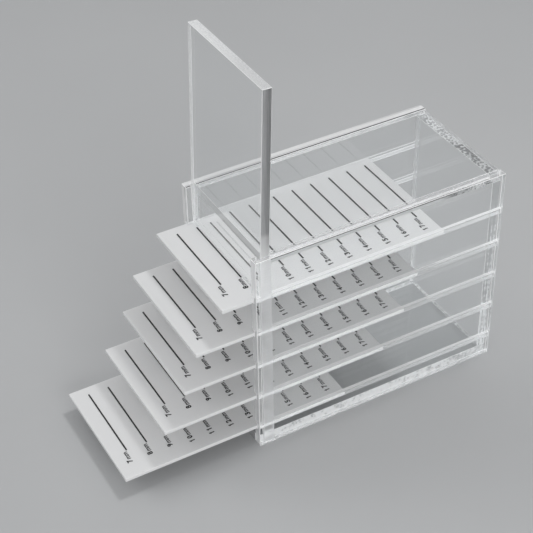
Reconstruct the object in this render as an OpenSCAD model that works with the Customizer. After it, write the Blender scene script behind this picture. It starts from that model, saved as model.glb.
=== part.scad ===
// Clear box cut from flat sheet, with slide-out tiles and a door that lifts out of its front.
// Millimetres. X runs across the width, Y from the front (-Y) to the rear, Z up.
// The origin is the middle of the underside of the case.

/* [Case] */
// Overall width of the case
case_w = 76.5; // [60:0.5:120]
// Overall depth of the case, along its side panels
case_d = 145; // [110:1:220]
// Overall height of the case
case_h = 120; // [80:1:180]
// Thickness of the clear sheet that the case is cut from
sheet_t = 5; // [4:0.5:8]
// How far the side panels stand past the rear panel
side_overhang = 1; // [0.5:0.5:4]

/* [Grooves] */
// Depth of the tile grooves and of the door slots, cut into the side panels
groove_depth = 2.5; // [1.5:0.25:3]
// Clear height between the base and the floor of the lowest groove
floor_room = 5.5; // [4:0.5:20]
// Clear height between the floor of the highest groove and the top panel
top_room = 20.5; // [8:0.5:40]
// Thickness of the lip in front of the door slots
front_lip = 3.2; // [2:0.1:8]

/* [Door] */
// Thickness of the door
door_t = 5; // [3:0.5:8]
// How far the top of the closed door lies below the top of the case
door_drop = 1; // [0:0.5:10]

/* [Tiles] */
// Thickness of a tile
tile_t = 2; // [1:0.25:3]
// How far the top tile stands out of the front
tile_1_out = 17; // [0:0.5:90]
// How far the second tile stands out of the front
tile_2_out = 32; // [0:0.5:90]
// How far the third tile stands out of the front
tile_3_out = 39.5; // [0:0.5:90]
// How far the fourth tile stands out of the front
tile_4_out = 51.5; // [0:0.5:90]
// How far the bottom tile stands out of the front
tile_5_out = 74.5; // [0:0.5:90]

/* [Fits] */
// Room above a tile in its groove
groove_play = 1.2; // [0.3:0.1:2]
// Room for the door in its slots, front to rear
door_play = 1; // [0.3:0.1:2]
// Gap left between the leaning door and each wall of its slots
door_gap = 0.1; // [0.05:0.05:0.3]
// Room at each side edge of a tile or the door
edge_play = 0.25; // [0.1:0.05:0.5]
// Room for a tile between the door slots and the rear panel
tile_end_play = 2.8; // [0.5:0.1:6]
// Gap under a tile or the door where it rests
seat_gap = 0.05; // [0.05:0.05:0.2]
// Thickness of the cement film in a glued joint
cement_t = 0.1; // [0.05:0.05:0.3]

/* [Hidden] */

// Colours of the clear sheet and of the tiles
clear_sheet = [0.86, 0.92, 0.94, 0.4];
tile_white = [0.93, 0.93, 0.92];

// Places along the depth
front_y = -case_d / 2;
rear_y = case_d / 2;
slot_front_y = front_y + front_lip;
slot_rear_y = slot_front_y + door_t + door_play;
panel_rear_y = rear_y - side_overhang;
inner_rear_y = panel_rear_y - sheet_t;
tile_l = inner_rear_y - slot_rear_y - tile_end_play;

// Places across the width
inner_w = case_w - 2 * sheet_t;
glued_w = inner_w - 2 * cement_t;
sliding_w = inner_w + 2 * (groove_depth - edge_play);

// Heights
tiles_out = [tile_1_out, tile_2_out, tile_3_out, tile_4_out, tile_5_out];
tile_count = len(tiles_out);
low_floor_z = sheet_t + floor_room;
high_floor_z = case_h - sheet_t - top_room;
groove_pitch = (high_floor_z - low_floor_z) / (tile_count - 1);
groove_h = tile_t + groove_play;
door_h = case_h - sheet_t - door_drop;

// How far a cut runs past the faces that it opens
cut_past = 1;

// Height of the groove floor that carries tile k, counted from the top
function groove_floor_z(k) = low_floor_z + groove_pitch * (tile_count - k);

// Height of the top face of tile k
function tile_top_z(k) = groove_floor_z(k) + seat_gap + tile_t;

// The raised door stands on the top tile and leans back as far as its slots let it
door_low_z = tile_top_z(1) + seat_gap;
door_lean = atan((door_play - 2 * door_gap) / (case_h - door_low_z));

// A box between its lowest and highest corners
module slab(low, high) {
    translate(low)
        cube(high - low);
}

// The right-hand side panel: tile grooves run its whole length, the door slot its whole height
module side_panel() {
    inner_x = inner_w / 2;
    groove_x = inner_x + groove_depth;
    difference() {
        slab([inner_x, front_y, 0], [case_w / 2, rear_y, case_h]);
        for (k = [1:tile_count])
            slab([inner_x - cut_past, front_y - cut_past, groove_floor_z(k)],
                 [groove_x, rear_y + cut_past, groove_floor_z(k) + groove_h]);
        slab([inner_x - cut_past, slot_front_y, -cut_past],
             [groove_x, slot_rear_y, case_h + cut_past]);
    }
}

module right_side_panel() {
    color(clear_sheet)
        side_panel();
}

module left_side_panel() {
    color(clear_sheet)
        mirror([1, 0, 0])
            side_panel();
}

// Between the side panels, flush with their front edges
module base_panel() {
    color(clear_sheet)
        slab([-glued_w / 2, front_y, 0], [glued_w / 2, panel_rear_y, sheet_t]);
}

// Between the side panels, behind the door slots and over the rear panel
module top_panel() {
    color(clear_sheet)
        slab([-glued_w / 2, slot_rear_y, case_h - sheet_t], [glued_w / 2, panel_rear_y, case_h]);
}

// Between the side panels, from the base to the top panel
module rear_panel() {
    color(clear_sheet)
        slab([-glued_w / 2, inner_rear_y, sheet_t + cement_t],
             [glued_w / 2, panel_rear_y, case_h - sheet_t - cement_t]);
}

// Raised in its slots, standing on the top tile with its lower rear edge
module front_door() {
    stand_y = slot_front_y + door_gap + door_t * cos(door_lean);
    color(clear_sheet)
        translate([0, stand_y, door_low_z])
            rotate([-door_lean, 0, 0])
                slab([-sliding_w / 2, -door_t, 0], [sliding_w / 2, 0, door_h]);
}

// Tile k, counted from the top, pulled out of the front by its own distance
module tile(k) {
    tile_front_y = front_y - tiles_out[k - 1];
    color(tile_white)
        slab([-sliding_w / 2, tile_front_y, tile_top_z(k) - tile_t],
             [sliding_w / 2, tile_front_y + tile_l, tile_top_z(k)]);
}

base_panel();
top_panel();
rear_panel();
left_side_panel();
right_side_panel();
front_door();
tile(1);  // tile_1
tile(2);  // tile_2
tile(3);  // tile_3
tile(4);  // tile_4
tile(5);  // tile_5
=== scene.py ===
import math

import bpy
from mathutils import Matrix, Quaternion, Vector


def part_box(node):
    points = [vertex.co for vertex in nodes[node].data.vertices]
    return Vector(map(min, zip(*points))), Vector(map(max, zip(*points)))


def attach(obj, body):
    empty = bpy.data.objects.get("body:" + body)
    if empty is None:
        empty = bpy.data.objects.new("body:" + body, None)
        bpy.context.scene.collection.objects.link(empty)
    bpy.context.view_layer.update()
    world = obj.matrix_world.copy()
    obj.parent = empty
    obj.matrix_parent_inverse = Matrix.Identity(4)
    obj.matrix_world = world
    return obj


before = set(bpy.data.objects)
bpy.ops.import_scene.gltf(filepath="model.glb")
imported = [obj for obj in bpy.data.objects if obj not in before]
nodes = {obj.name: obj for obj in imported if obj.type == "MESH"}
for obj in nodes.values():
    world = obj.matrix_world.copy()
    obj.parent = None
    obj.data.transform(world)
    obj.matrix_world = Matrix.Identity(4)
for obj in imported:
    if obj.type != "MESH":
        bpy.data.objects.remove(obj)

mm = 0.001
xAxis, yAxis, zAxis = range(3)
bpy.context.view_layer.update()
print("frame loaded:", len(nodes), "solids")


# small helpers for working as at the desk
def pickOnly(piece):
    bpy.ops.object.select_all(action="DESELECT")
    piece.select_set(True)
    bpy.context.view_layer.objects.active = piece


def settle(piece):  # place, turn and scale go into the mesh
    pickOnly(piece)
    bpy.ops.object.transform_apply(location=True, rotation=True, scale=True)


def joinPieces(pieces, name):
    pickOnly(pieces[0])
    for piece in pieces:
        piece.select_set(True)
    bpy.ops.object.join()
    joined = bpy.context.object
    joined.name = name
    settle(joined)
    return joined


def layCopy(model, place, turn=0.0):
    copy = model.copy()
    copy.data = model.data.copy()
    bpy.context.collection.objects.link(copy)
    copy.location = place
    copy.rotation_euler = (0, 0, turn)
    return copy


# camera where the photographer stood
cameraSet = {
    "place": (500.975 * mm, -319.846 * mm, 532.661 * mm),
    "azimuth": 61.303,  # degrees
    "elevation": 38.285,
    "roll": -1.218,
    "lens": 96.625,  # in millimetres, as the sensor
    "sensor": 36.0,
    "nearest": 10 * mm,
}


def setCamera(values):
    bpy.ops.object.camera_add(location=values["place"])
    camera = bpy.context.object
    camera.name = "photoCamera"
    azimuth = math.radians(values["azimuth"])
    elevation = math.radians(values["elevation"])
    look = Vector((
        -math.sin(azimuth) * math.cos(elevation),
        math.cos(azimuth) * math.cos(elevation),
        -math.sin(elevation),
    ))
    turn = look.to_track_quat("-Z", "Y") @ Quaternion((0, 0, 1), math.radians(values["roll"]))
    camera.rotation_euler = turn.to_euler()
    camera.data.sensor_width = values["sensor"]
    camera.data.lens = values["lens"]
    camera.data.clip_start = values["nearest"]
    bpy.context.scene.camera = camera


setCamera(cameraSet)
print("camera set")


# node building
def newFinish(name):
    finish = bpy.data.materials.new(name)
    finish.use_nodes = True
    tree = finish.node_tree
    tree.nodes.clear()
    return finish, tree


def addPrincipled(tree, settings):
    shader = tree.nodes.new("ShaderNodeBsdfPrincipled")
    for key, value in settings.items():
        shader.inputs[key].default_value = value
    return shader


def objectPlace(tree, scale=(1, 1, 1)):
    place = tree.nodes.new("ShaderNodeTexCoord")
    mapping = tree.nodes.new("ShaderNodeMapping")
    mapping.inputs["Scale"].default_value = scale
    tree.links.new(place.outputs["Object"], mapping.inputs["Vector"])
    return mapping.outputs["Vector"]


def addNoise(tree, vector, scale, detail=2.0, roughness=0.5):
    pattern = tree.nodes.new("ShaderNodeTexNoise")
    pattern.inputs["Scale"].default_value = scale
    pattern.inputs["Detail"].default_value = detail
    pattern.inputs["Roughness"].default_value = roughness
    tree.links.new(vector, pattern.inputs["Vector"])
    return pattern.outputs["Fac"]


def addCells(tree, vector, scale):
    pattern = tree.nodes.new("ShaderNodeTexVoronoi")
    pattern.feature = "SMOOTH_F1"
    pattern.inputs["Scale"].default_value = scale
    tree.links.new(vector, pattern.inputs["Vector"])
    return pattern.outputs["Distance"]


def addMath(tree, operation, first, second):
    node = tree.nodes.new("ShaderNodeMath")
    node.operation = operation
    tree.links.new(first, node.inputs[0])
    tree.links.new(second, node.inputs[1])
    return node.outputs["Value"]


def addRange(tree, value, source=(0, 1), target=(0, 1)):
    node = tree.nodes.new("ShaderNodeMapRange")
    node.inputs["From Min"].default_value = source[0]
    node.inputs["From Max"].default_value = source[1]
    node.inputs["To Min"].default_value = target[0]
    node.inputs["To Max"].default_value = target[1]
    tree.links.new(value, node.inputs["Value"])
    return node.outputs["Result"]


def addBump(tree, height, depth, strength):
    node = tree.nodes.new("ShaderNodeBump")
    node.inputs["Distance"].default_value = depth
    node.inputs["Strength"].default_value = strength
    tree.links.new(height, node.inputs["Height"])
    return node.outputs["Normal"]


def addRamp(tree, value, source, low, high):
    node = tree.nodes.new("ShaderNodeValToRGB")
    for stop, place, colour in zip(node.color_ramp.elements, source, (low, high)):
        stop.position = place
        stop.color = (*colour, 1)
    tree.links.new(value, node.inputs["Fac"])
    return node.outputs["Color"]


def addTint(tree, share, colour, tint):
    node = tree.nodes.new("ShaderNodeMix")
    node.data_type = "RGBA"
    node.inputs["B"].default_value = (*tint, 1)
    tree.links.new(share, node.inputs["Factor"])
    tree.links.new(colour, node.inputs["A"])
    return node.outputs["Result"]


def mixClear(tree, share, surface, tint):  # share of the surface that is not there at all
    clear = tree.nodes.new("ShaderNodeBsdfTransparent")
    clear.inputs["Color"].default_value = (*tint, 1)
    mix = tree.nodes.new("ShaderNodeMixShader")
    tree.links.new(share, mix.inputs["Fac"])
    tree.links.new(surface, mix.inputs[1])
    tree.links.new(clear.outputs["BSDF"], mix.inputs[2])
    return mix.outputs["Shader"]


def letLampsThrough(tree, surface, tint):  # clear sheet lets lamps reach what lies behind it
    path = tree.nodes.new("ShaderNodeLightPath")
    return mixClear(tree, path.outputs["Is Shadow Ray"], surface, tint)


def addWithin(tree, vector, low, high, axes):  # one inside a box, seen along the axis left out
    split = tree.nodes.new("ShaderNodeSeparateXYZ")
    tree.links.new(vector, split.inputs["Vector"])
    parts = []
    for axis in axes:
        node = tree.nodes.new("ShaderNodeMath")
        node.operation = "COMPARE"
        tree.links.new(split.outputs[axis], node.inputs[0])
        node.inputs[1].default_value = (low[axis] + high[axis]) / 2
        node.inputs[2].default_value = (high[axis] - low[axis]) / 2
        parts.append(node.outputs["Value"])
    return addMath(tree, "MULTIPLY", *parts)


def addAlong(tree, vector, axis, between):  # 0 to 1 along an axis
    split = tree.nodes.new("ShaderNodeSeparateXYZ")
    tree.links.new(vector, split.inputs["Vector"])
    return addRange(tree, split.outputs[axis], between)


def closeFinish(tree, surface):
    output = tree.nodes.new("ShaderNodeOutputMaterial")
    tree.links.new(surface, output.inputs["Surface"])


# clear polished faces of the sheet, with faint smudges; every scale counts patterns per metre
sheetIor = 1.49
yAndZ = (yAxis, zAxis)
cementedPanels = ("base_panel", "top_panel", "rear_panel")
polishedSet = {
    "colour": (0.985, 0.992, 0.994),
    "smudgeScale": 28.0,
    "smudgeDetail": 5.0,
    "smudgeBreakUp": 0.6,
    "smudgeRange": (0.56, 0.78),
    "roughness": (0.0, 0.03),
    "lampTint": (0.91, 0.915, 0.918),
    "cementTint": (0.97, 0.975, 0.978),
}


def makePolished(name, values, cementedTo=()):  # no surface is left where a sheet is cemented on
    finish, tree = newFinish(name)
    shader = addPrincipled(tree, {
        "Base Color": (*values["colour"], 1),
        "IOR": sheetIor,
        "Transmission Weight": 1.0,
    })
    place = objectPlace(tree)
    smudge = addNoise(tree, place, values["smudgeScale"], values["smudgeDetail"], values["smudgeBreakUp"])
    rough = addRange(tree, smudge, values["smudgeRange"], values["roughness"])
    tree.links.new(rough, shader.inputs["Roughness"])
    surface = shader.outputs["BSDF"]
    for other in cementedTo:
        joint = addWithin(tree, place, *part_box(other), yAndZ)
        surface = mixClear(tree, joint, surface, values["cementTint"])
    closeFinish(tree, letLampsThrough(tree, surface, values["lampTint"]))
    return finish


# cut faces of the sheet; grain is how fast the streaks change through the sheet, run along the cut
cutSet = {
    "detail": 3.0,
    "streaks": (0.35, 0.65),  # where the grain turns from grey to pale
    "roughBetween": (0.3, 0.7),
    "bumpStrength": 0.5,
}
slotLip = 3.2 * mm
slotWide = 6 * mm
sideLow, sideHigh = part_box("left_side_panel")
slotFront = sideLow.y + slotLip
slotRear = slotFront + slotWide
sideEdgeSet = {
    "clear": 0.5,
    "pale": (0.98, 0.985, 0.99),
    "grey": (0.8, 0.81, 0.815),
    "grain": 1400.0,
    "run": 10.0,
    "roughness": (0.1, 0.2),
    "lampTint": (0.9, 0.91, 0.915),
}
leftFrontSet = {
    "clear": 0.2,
    "pale": (0.98, 0.98, 0.98),
    "grey": (0.4, 0.405, 0.41),
    "streaks": (0.34, 0.46),
    "grain": 1100.0,
    "run": 8.0,
    "roughness": (0.1, 0.2),
    "lampTint": (0.9, 0.91, 0.915),
}
leftTopSet = {
    "clear": 0.2,
    "pale": (0.93, 0.93, 0.93),
    "grey": (0.6, 0.605, 0.61),
    "streaks": (0.34, 0.46),
    "tint": (0.1, 0.102, 0.105),
    "tintAlong": (xAxis, (sideHigh.x - 1.25 * mm, sideHigh.x - 0.95 * mm)),  # dark line of the joint
    "grain": 1100.0,
    "run": 8.0,
    "roughness": (0.05, 0.12),
    "lampTint": (0.9, 0.91, 0.915),
}
rightTopSet = {
    "clear": 0.8,
    "pale": (0.99, 0.99, 0.99),
    "grey": (0.92, 0.925, 0.93),
    "grain": 1100.0,
    "run": 8.0,
    "roughness": (0.01, 0.05),
    "lampTint": (0.9, 0.91, 0.915),
}
footEdgeSet = {
    "clear": 0.6,
    "pale": (0.98, 0.985, 0.99),
    "grey": (0.94, 0.945, 0.95),
    "grain": 600.0,
    "run": 10.0,
    "roughness": (0.02, 0.04),
    "lampTint": (0.9, 0.91, 0.915),
}
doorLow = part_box("front_door")[0].z
# right edge of the door: its colour is painted darker than the frosted left edge, a painted shade for the
# side that lies in shade
doorRightShadeAndReflectionSet = {
    "clear": 0.82,
    "pale": (0.66, 0.665, 0.67),
    "grey": (0.44, 0.45, 0.46),
    "grain": 1800.0,
    "run": 25.0,
    "roughness": (0.28, 0.42),
    "tint": (0.99, 0.99, 0.99),
    "tintAlong": (zAxis, (doorLow + 37 * mm, doorLow + 34 * mm)),  # painted reflection: white painted along the foot of the edge, where the door's frosted foot shows by reflection
    "lampTint": (0.86, 0.87, 0.875),
}
frostedSet = {
    "clear": 0.3,
    "pale": (0.97, 0.975, 0.98),
    "grey": (0.72, 0.73, 0.735),
    "grain": 1400.0,
    "run": 1400.0,
    "roughness": (0.3, 0.5),
    "depth": 0.02 * mm,
    "lampTint": (0.7, 0.71, 0.715),
}
flatEdgeSet = {
    "clear": 0.45,
    "pale": (0.95, 0.955, 0.96),
    "grey": (0.9, 0.905, 0.91),
    "grain": 1500.0,
    "run": 250.0,
    "roughness": (0.28, 0.4),
    "lampTint": (0.8, 0.81, 0.815),
}
grooveWallSet = {
    "clear": 0.86,
    "pale": (0.97, 0.975, 0.98),
    "grey": (0.92, 0.925, 0.93),
    "grain": 2400.0,
    "run": 20.0,
    "roughness": (0.14, 0.22),
    "lampTint": (0.88, 0.89, 0.895),
    "frostedIn": (  # the door slot
        (sideLow.x, slotFront, sideLow.z),
        (sideHigh.x, slotRear, sideHigh.z),
    ),
    "frostedClear": 0.68,
    "frostedRoughness": 0.35,
}
grooveRoofSet = {
    "clear": 0.12,
    "pale": (0.98, 0.98, 0.98),
    "grey": (0.93, 0.935, 0.94),
    "grain": 2400.0,
    "run": 20.0,
    "roughness": (0.28, 0.36),
    "lampTint": (0.78, 0.79, 0.795),
}
grooveFloorSet = {
    "clear": 0.3,
    "pale": (0.97, 0.975, 0.98),
    "grey": (0.92, 0.925, 0.93),
    "grain": 2400.0,
    "run": 20.0,
    "roughness": (0.2, 0.27),
    "lampTint": (0.85, 0.86, 0.865),
}
# broken edges: near-opaque white, a painted highlight that stands in for glints along every edge
arrisHighlightSet = {
    "clear": 0.1,
    "pale": (0.99, 0.99, 0.99),
    "grey": (0.94, 0.945, 0.95),
    "grain": 300.0,
    "run": 300.0,
    "roughness": (0.28, 0.36),
    "lampTint": (0.8, 0.81, 0.815),
}


def makeCut(name, values, through):
    finish, tree = newFinish(name)
    shader = addPrincipled(tree, {"IOR": sheetIor, "Transmission Weight": values["clear"]})
    scale = [values["run"]] * 3
    scale[through] = values["grain"]
    grain = addNoise(tree, objectPlace(tree, scale), 1.0, cutSet["detail"])
    streaks = values.get("streaks", cutSet["streaks"])
    tone = addRamp(tree, grain, streaks, values["grey"], values["pale"])
    if "tintAlong" in values:
        share = addAlong(tree, objectPlace(tree), *values["tintAlong"])
        tone = addTint(tree, share, tone, values["tint"])
    tree.links.new(tone, shader.inputs["Base Color"])
    rough = addRange(tree, grain, cutSet["roughBetween"], values["roughness"])
    if "frostedIn" in values:
        frosted = addWithin(tree, objectPlace(tree), *values["frostedIn"], yAndZ)
        clear = addRange(tree, frosted, target=(values["clear"], values["frostedClear"]))
        tree.links.new(clear, shader.inputs["Transmission Weight"])
        frostedRough = addRange(tree, frosted, target=(0, values["frostedRoughness"]))
        rough = addMath(tree, "MAXIMUM", rough, frostedRough)
    tree.links.new(rough, shader.inputs["Roughness"])
    if "depth" in values:
        bump = addBump(tree, grain, values["depth"], cutSet["bumpStrength"])
        tree.links.new(bump, shader.inputs["Normal"])
    closeFinish(tree, letLampsThrough(tree, shader.outputs["BSDF"], values["lampTint"]))
    return finish


# cemented ends: gone where the cement ran, frosted where it left bubbles, more so along one axis
gluedSet = {
    "patchBetween": (0.35, 0.65),
    "bubbleBetween": (0.25, 0.7),
    "toneBetween": (0.2, 0.8),
}
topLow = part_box("top_panel")[0].z
topLeftSet = {
    "patchScale": 55.0,
    "bubbleScale": 620.0,
    "bubbleShare": (-0.35, 0.65),
    "gone": (0.5, 0.3),
    "growsAlong": yAxis,
    "growsBetween": (-10 * mm, 60 * mm),
    "pale": (0.97, 0.975, 0.98),
    "grey": (0.88, 0.885, 0.89),
    "clear": 0.4,
    "roughness": (0.15, 0.4),
    "lampTint": (0.84, 0.85, 0.855),
}
topRightSet = {
    "patchScale": 55.0,
    "bubbleScale": 620.0,
    "bubbleShare": (-0.35, 0.65),
    "gone": (0.92, 0.12),
    "growsAlong": yAxis,
    "growsBetween": (30 * mm, 60 * mm),
    "filletBelow": (topLow + 2.2 * mm, topLow + 1.7 * mm),  # milky cement along the lower corner
    "filletUntil": (50 * mm, 34 * mm),
    "pale": (0.97, 0.975, 0.98),
    "grey": (0.88, 0.885, 0.89),
    "clear": 0.4,
    "roughness": (0.15, 0.4),
    "lampTint": (0.84, 0.85, 0.855),
}
sawnEndSet = {
    "patchScale": 260.0,
    "bubbleScale": 900.0,
    "bubbleShare": (0.4, 1.0),
    "gone": (0.5, 0.02),
    "growsAlong": yAxis,
    "growsBetween": (120 * mm, 0),
    "pale": (0.99, 0.99, 0.99),
    "grey": (0.8, 0.81, 0.815),
    "clear": 0.1,
    "roughness": (0.3, 0.6),
    "lampTint": (0.6, 0.61, 0.615),
}
rearSideSet = {
    "patchScale": 800.0,
    "stretch": (1, 1, 0.05),  # streaks up the joint
    "bubbleScale": 420.0,
    "bubbleShare": (0.0, 0.5),
    "gone": (0.3, 0.1),
    "growsAlong": zAxis,
    "growsBetween": (140 * mm, 10 * mm),
    "pale": (0.97, 0.975, 0.98),
    "grey": (0.76, 0.765, 0.77),
    "clear": 0.3,
    "roughness": (0.2, 0.35),
    "lampTint": (0.84, 0.85, 0.855),
}
rearTopSet = {
    "patchScale": 110.0,
    "bubbleScale": 760.0,
    "bubbleShare": (-0.35, 0.65),
    "gone": (0.45, 0.05),
    "growsAlong": xAxis,
    "growsBetween": (165 * mm, -30 * mm),
    "pale": (0.97, 0.975, 0.98),
    "grey": (0.62, 0.625, 0.63),
    "clear": 0.3,
    "roughness": (0.15, 0.4),
    "lampTint": (0.8, 0.81, 0.815),
}


def makeGlued(name, values):
    finish, tree = newFinish(name)
    shader = addPrincipled(tree, {"IOR": sheetIor, "Transmission Weight": values["clear"]})
    place = objectPlace(tree)
    stretched = objectPlace(tree, values.get("stretch", (1, 1, 1)))
    along = addAlong(tree, place, values["growsAlong"], values["growsBetween"])
    patch = addRange(tree, addNoise(tree, stretched, values["patchScale"]), gluedSet["patchBetween"])
    cells = addCells(tree, place, values["bubbleScale"])
    bubble = addRange(tree, cells, gluedSet["bubbleBetween"], values["bubbleShare"])
    frost = addMath(tree, "MULTIPLY", addMath(tree, "ADD", patch, bubble), along)
    if "filletBelow" in values:
        below = addAlong(tree, place, zAxis, values["filletBelow"])
        until = addAlong(tree, place, yAxis, values["filletUntil"])
        frost = addMath(tree, "MAXIMUM", frost, addMath(tree, "MULTIPLY", below, until))
    tone = addRamp(tree, frost, gluedSet["toneBetween"], values["grey"], values["pale"])
    tree.links.new(tone, shader.inputs["Base Color"])
    rough = addRange(tree, frost, target=values["roughness"])
    tree.links.new(rough, shader.inputs["Roughness"])
    gone = addRange(tree, frost, target=values["gone"])
    surface = mixClear(tree, gone, shader.outputs["BSDF"], polishedSet["cementTint"])
    closeFinish(tree, letLampsThrough(tree, surface, values["lampTint"]))
    return finish


# opal white tile, lit through at its edges
tileSet = {
    "pale": (0.805, 0.805, 0.805),
    "grey": (0.785, 0.785, 0.787),
    "cloudScale": 45.0,
    "cloudDetail": 1.0,
    "cloudRange": (0.2, 0.8),
    "roughness": (0.29, 0.35),
    "glow": 0.5,
    "glowColours": (1.0, 1.0, 1.0),  # all reach as far
    "glowReach": 1.5 * mm,
    "grainScale": 1800.0,
    "grainDepth": 0.02 * mm,
    "grainStrength": 0.1,
}


def makeTile(values):
    finish, tree = newFinish("opalTile")
    shader = addPrincipled(tree, {
        "IOR": sheetIor,
        "Subsurface Weight": values["glow"],
        "Subsurface Radius": values["glowColours"],
        "Subsurface Scale": values["glowReach"],
    })
    cloud = addNoise(tree, objectPlace(tree), values["cloudScale"], values["cloudDetail"])
    tone = addRamp(tree, cloud, values["cloudRange"], values["grey"], values["pale"])
    tree.links.new(tone, shader.inputs["Base Color"])
    rough = addRange(tree, cloud, values["cloudRange"], values["roughness"])
    tree.links.new(rough, shader.inputs["Roughness"])
    grain = addNoise(tree, objectPlace(tree), values["grainScale"])
    bump = addBump(tree, grain, values["grainDepth"], values["grainStrength"])
    tree.links.new(bump, shader.inputs["Normal"])
    closeFinish(tree, shader.outputs["BSDF"])
    return finish


# black screen print
inkSet = {
    "dense": (0.012, 0.012, 0.013),
    "thin": (0.05, 0.05, 0.052),
    "speckScale": 2600.0,
    "speckDetail": 3.0,
    "thinBetween": (0.45, 0.8),
    "roughBetween": (0.3, 0.7),
    "roughness": (0.35, 0.55),
}


def makeInk(values):
    finish, tree = newFinish("screenInk")
    shader = addPrincipled(tree, {})
    speck = addNoise(tree, objectPlace(tree), values["speckScale"], values["speckDetail"])
    tone = addRamp(tree, speck, values["thinBetween"], values["dense"], values["thin"])
    tree.links.new(tone, shader.inputs["Base Color"])
    rough = addRange(tree, speck, values["roughBetween"], values["roughness"])
    tree.links.new(rough, shader.inputs["Roughness"])
    closeFinish(tree, shader.outputs["BSDF"])
    return finish


polished = makePolished("polishedSheet", polishedSet)
jointed = makePolished("jointedSheet", polishedSet, cementedPanels)
sideEdge = makeCut("sideEdge", sideEdgeSet, xAxis)
leftFront = makeCut("leftFront", leftFrontSet, xAxis)
leftTop = makeCut("leftTop", leftTopSet, xAxis)
rightTop = makeCut("rightTop", rightTopSet, xAxis)
footEdge = makeCut("footEdge", footEdgeSet, xAxis)
grooveWall = makeCut("grooveWall", grooveWallSet, zAxis)
grooveRoof = makeCut("grooveRoof", grooveRoofSet, xAxis)
grooveFloor = makeCut("grooveFloor", grooveFloorSet, xAxis)
doorLeft = makeCut("doorLeft", frostedSet, yAxis)
# the door's right edge carries painted shade and, at its foot, a painted reflection
doorRight = makeCut("doorRight", doorRightShadeAndReflectionSet, yAxis)
doorTop = makeCut("doorTop", frostedSet, yAxis)
flatEdge = makeCut("flatEdge", flatEdgeSet, zAxis)
arrisHighlight = makeCut("arrisHighlight", arrisHighlightSet, xAxis)
topLeft = makeGlued("topLeft", topLeftSet)
topRight = makeGlued("topRight", topRightSet)
sawnEnd = makeGlued("sawnEnd", sawnEndSet)
rearSide = makeGlued("rearSide", rearSideSet)
rearTop = makeGlued("rearTop", rearTopSet)
opal = makeTile(tileSet)
ink = makeInk(inkSet)
print("finishes made")


# dress the solids
edgeSet = {
    "mergeWithin": 0.002 * mm,
    "flatWithin": 1.0,  # degrees
    "sheetBevel": 0.25 * mm,
    "gluedBevel": 0.12 * mm,
    "tileBevel": 0.15 * mm,
    "segments": 2,
    "sharperThan": 40.0,  # degrees
}


def softenEdges(piece, width, values):
    weld = piece.modifiers.new("mergeCorners", "WELD")
    weld.merge_threshold = values["mergeWithin"]
    flat = piece.modifiers.new("flatFaces", "DECIMATE")
    flat.decimate_type = "DISSOLVE"
    flat.angle_limit = math.radians(values["flatWithin"])
    flat.delimit = {"MATERIAL"}
    bevel = piece.modifiers.new("edgeBreak", "BEVEL")
    bevel.width = width
    bevel.segments = values["segments"]
    bevel.limit_method = "ANGLE"
    bevel.angle_limit = math.radians(values["sharperThan"])


def setSlots(piece, finishes):
    piece.data.materials.clear()
    for finish in finishes:
        piece.data.materials.append(finish)


# finishes of each sheet: two for each axis, of the faces that look down it and up it
bothPolished = (polished, polished)
sheetSet = {
    "base_panel": ((sawnEnd, sawnEnd), (flatEdge, flatEdge), bothPolished),
    "top_panel": ((topLeft, topRight), (flatEdge, flatEdge), bothPolished),
    "rear_panel": ((rearSide, rearSide), bothPolished, (rearTop, rearTop)),
    "left_side_panel": ((polished, jointed), (leftFront, sideEdge), (footEdge, leftTop)),
    "right_side_panel": ((jointed, polished), (sideEdge, sideEdge), (footEdge, rightTop)),
    "front_door": ((doorLeft, doorRight), bothPolished, (doorTop, doorTop)),
}
milledSet = ((grooveWall, grooveWall), (grooveRoof, grooveRoof), (grooveRoof, grooveFloor))


def dressSheet(name, faces):
    piece = nodes[name]
    milled = milledSet if name.endswith("side_panel") else ()
    finishes = list(dict.fromkeys(finish for pair in (*faces, *milled) for finish in pair))
    finishes.append(arrisHighlight)
    setSlots(piece, finishes)
    low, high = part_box(name)
    near = edgeSet["mergeWithin"]
    for face in piece.data.polygons:
        way = max(range(3), key=lambda axis: abs(face.normal[axis]))
        inside = low[way] + near < face.center[way] < high[way] - near
        pair = milled[way] if milled and inside else faces[way]
        face.material_index = finishes.index(pair[int(face.normal[way] > 0)])
    width = edgeSet["gluedBevel" if name in cementedPanels else "sheetBevel"]
    softenEdges(piece, width, edgeSet)
    # the bevel faces take the painted highlight
    piece.modifiers["edgeBreak"].material = finishes.index(arrisHighlight)


def dressTile(name):
    piece = nodes[name]
    setSlots(piece, [opal])
    softenEdges(piece, edgeSet["tileBevel"], edgeSet)


tileNames = sorted(name for name in nodes if name.startswith("tile_"))
for name, values in sheetSet.items():
    dressSheet(name, values)
for name in tileNames:
    dressTile(name)
print("solids dressed:", len(sheetSet), "sheets,", len(tileNames), "tiles")


# print on the tiles: a ruled line for each length, with its number in fixed-pitch figures
printSet = {
    "lengths": range(7, 18),
    "unit": "mm",
    "firstLine": 8.9 * mm,  # from the tile's front edge
    "pitch": 11.24 * mm,
    "lineFrom": -29.8 * mm,
    "lineTo": 17.5 * mm,
    "lineWidth": 0.75 * mm,
    "lineRound": 0.2 * mm,
    "lineSteps": 3,
    "labelFrom": 18.1 * mm,
    "labelLift": 0.35 * mm,  # foot of the figures above the line
    "figurePitch": 2.85 * mm,
    "figureHigh": 2.95 * mm,
    "typeSize": 1.4,  # of the figure's height
    "curveSteps": 3,
    "figureWide": 2.0 * mm,
    "letterHigh": 1.85 * mm,
    "letterWide": 2.55 * mm,
    "oneWide": 0.62 * mm,
    "flagLong": 1.2 * mm,
    "flagThick": 0.8,  # of the width of the one
    "flagDrop": 0.55,
    "flagTurn": 40.0,  # degrees
    "stroke": 0.16 * mm,  # thickens the strokes
    "letterStroke": 0.09 * mm,
    "inkThick": 0.03 * mm,
}


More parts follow.
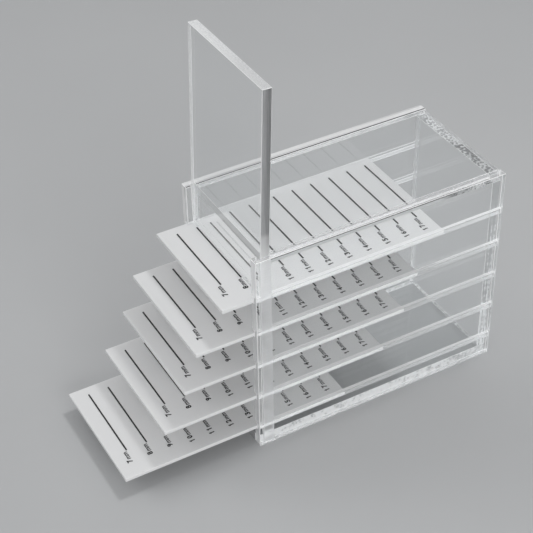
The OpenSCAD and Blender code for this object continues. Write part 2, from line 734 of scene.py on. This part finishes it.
def cutFigure(mark, values):  # one figure or letter, foot at y 0, centred on its pitch
    bpy.ops.object.text_add()
    figure = bpy.context.object
    figure.data.body = mark
    figure.data.size = values["figureHigh"] * values["typeSize"]
    figure.data.offset = values["letterStroke"] if mark.isalpha() else values["stroke"]
    figure.data.extrude = values["inkThick"] / 2
    figure.data.resolution_u = values["curveSteps"]
    pickOnly(figure)
    bpy.ops.object.convert(target="MESH")
    figure = bpy.context.object
    wide = values["letterWide"] if mark.isalpha() else values["figureWide"]
    high = values["letterHigh"] if mark.isalpha() else values["figureHigh"]
    if mark == "1":
        wide = values["oneWide"]
    figure.scale = (wide / figure.dimensions.x, high / figure.dimensions.y, 1)
    settle(figure)
    corner = [min(v.co[axis] for v in figure.data.vertices) for axis in (xAxis, yAxis)]
    figure.location = (-corner[0] + (values["figurePitch"] - wide) / 2, -corner[1], 0)
    settle(figure)
    if mark == "1":
        figure = joinPieces([figure, cutFlag(values)], "figureOne")
    return figure


def cutFlag(values):  # the slanted stroke at the head of the one
    bpy.ops.mesh.primitive_cube_add(size=1)
    flag = bpy.context.object
    flag.scale = (values["flagLong"], values["oneWide"] * values["flagThick"], values["inkThick"])
    turn = math.radians(values["flagTurn"])
    reach = (values["flagLong"] - values["oneWide"]) / 2
    flag.rotation_euler = (0, 0, turn)
    flag.location = (
        values["figurePitch"] / 2 - reach * math.cos(turn),
        values["figureHigh"] - values["oneWide"] * values["flagDrop"] - reach * math.sin(turn),
        0,
    )
    settle(flag)
    return flag


def ruleLine(values):  # one ruled line with rounded ends, along x from 0
    bpy.ops.mesh.primitive_cube_add(size=1)
    line = bpy.context.object
    length = values["lineTo"] - values["lineFrom"]
    line.scale = (length, values["lineWidth"], values["inkThick"])
    line.location = (length / 2, 0, 0)
    settle(line)
    for edge in line.data.edges:
        ends = [line.data.vertices[v].co for v in edge.vertices]
        edge.select = abs(ends[0].z - ends[1].z) > values["inkThick"] / 2
    bpy.ops.object.mode_set(mode="EDIT")
    bpy.ops.mesh.select_mode(type="EDGE")
    bpy.ops.mesh.bevel(offset=values["lineRound"], segments=values["lineSteps"], affect="EDGES")
    bpy.ops.object.mode_set(mode="OBJECT")
    return line


def printTile(name, values, figures, line):
    low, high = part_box(name)
    z = high.z + values["inkThick"] / 2
    parts = []
    for row, length in enumerate(values["lengths"]):
        y = low.y + values["firstLine"] + values["pitch"] * row
        parts.append(layCopy(line, (values["lineFrom"], y, z)))
        label = f"{length}{values['unit']}"
        end = values["labelFrom"] + values["figurePitch"] * len(label)
        for place, mark in enumerate(label):  # reads towards the line, heads to the tile's front
            x = end - values["figurePitch"] * place
            parts.append(layCopy(figures[mark], (x, y - values["labelLift"], z), math.pi))
    tilePrint = joinPieces(parts, name.replace("tile_", "tilePrint_"))
    setSlots(tilePrint, [ink])
    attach(tilePrint, name)


marks = sorted(set("0123456789" + printSet["unit"]))
figures = {mark: cutFigure(mark, printSet) for mark in marks}
line = ruleLine(printSet)
for name in tileNames:
    printTile(name, printSet, figures, line)
for model in [*figures.values(), line]:
    bpy.data.objects.remove(model)
print("tiles printed:", len(printSet["lengths"]), "lines each")


# stage: pale floor and soft light
floorSet = {
    "side": 8.0,
    "drop": 0.05 * mm,  # just under the case, so that no two faces coincide
    "pale": (0.5, 0.505, 0.51),
    "deep": (0.485, 0.49, 0.495),
    "mottleScale": 6.0,
    "mottleDetail": 3.0,
    "mottleBetween": (0.3, 0.7),
    "roughness": 0.75,
    "shine": 0.2,
}


def makeFloor(values):
    bpy.ops.mesh.primitive_plane_add(size=values["side"], location=(0, 0, -values["drop"]))
    floor = bpy.context.object
    floor.name = "paleFloor"
    finish, tree = newFinish("paleFloor")
    shader = addPrincipled(tree, {
        "Roughness": values["roughness"],
        "Specular IOR Level": values["shine"],
    })
    mottle = addNoise(tree, objectPlace(tree), values["mottleScale"], values["mottleDetail"])
    tone = addRamp(tree, mottle, values["mottleBetween"], values["deep"], values["pale"])
    tree.links.new(tone, shader.inputs["Base Color"])
    closeFinish(tree, shader.outputs["BSDF"])
    setSlots(floor, [finish])


# the room is dimmer towards the horizon, so that the clear edges get dark and light lines
roomSet = {
    "low": (0.15, 0.152, 0.155),
    "high": (0.6, 0.608, 0.616),
    "between": (0.25, 0.9),
}


def makeRoom(values):
    room = bpy.data.worlds.new("softRoom")
    room.use_nodes = True
    tree = room.node_tree
    height = tree.nodes.new("ShaderNodeSeparateXYZ")
    tree.links.new(objectPlace(tree), height.inputs["Vector"])
    tone = addRamp(tree, height.outputs["Z"], values["between"], values["low"], values["high"])
    tree.links.new(tone, tree.nodes["Background"].inputs["Color"])
    room.cycles.sampling_method = "NONE"  # its light comes through the sheet by refraction alone
    bpy.context.scene.world = room


lampSet = {
    "overhead": {"place": (0, 0.21, 0.93), "size": 0.13, "power": 2.1, "mirrored": False},
    "left": {"place": (-1.79, -1.53, 1.34), "size": 1.41, "power": 15.3, "mirrored": True},
    "right": {"place": (2.43, -0.39, 0.82), "size": 1.53, "power": 32.0, "mirrored": True},
}
lampAim = Vector((0, 0, 70 * mm))


def hangLamp(name, values):
    bpy.ops.object.light_add(type="AREA", location=values["place"])
    lamp = bpy.context.object
    lamp.name = name + "Lamp"
    lamp.data.size = values["size"]
    lamp.data.energy = values["power"]
    lamp.visible_transmission = False  # its light comes through the sheet as if there were none
    lamp.visible_glossy = values["mirrored"]
    lamp.rotation_euler = (lampAim - lamp.location).to_track_quat("-Z", "Y").to_euler()


makeFloor(floorSet)
makeRoom(roomSet)
for name, values in lampSet.items():
    hangLamp(name, values)
scene = bpy.context.scene
scene.view_settings.view_transform = "Standard"
sheetBounces = 32
scene.cycles.max_bounces = sheetBounces
scene.cycles.transmission_bounces = sheetBounces
scene.cycles.transparent_max_bounces = sheetBounces
print("stage set")
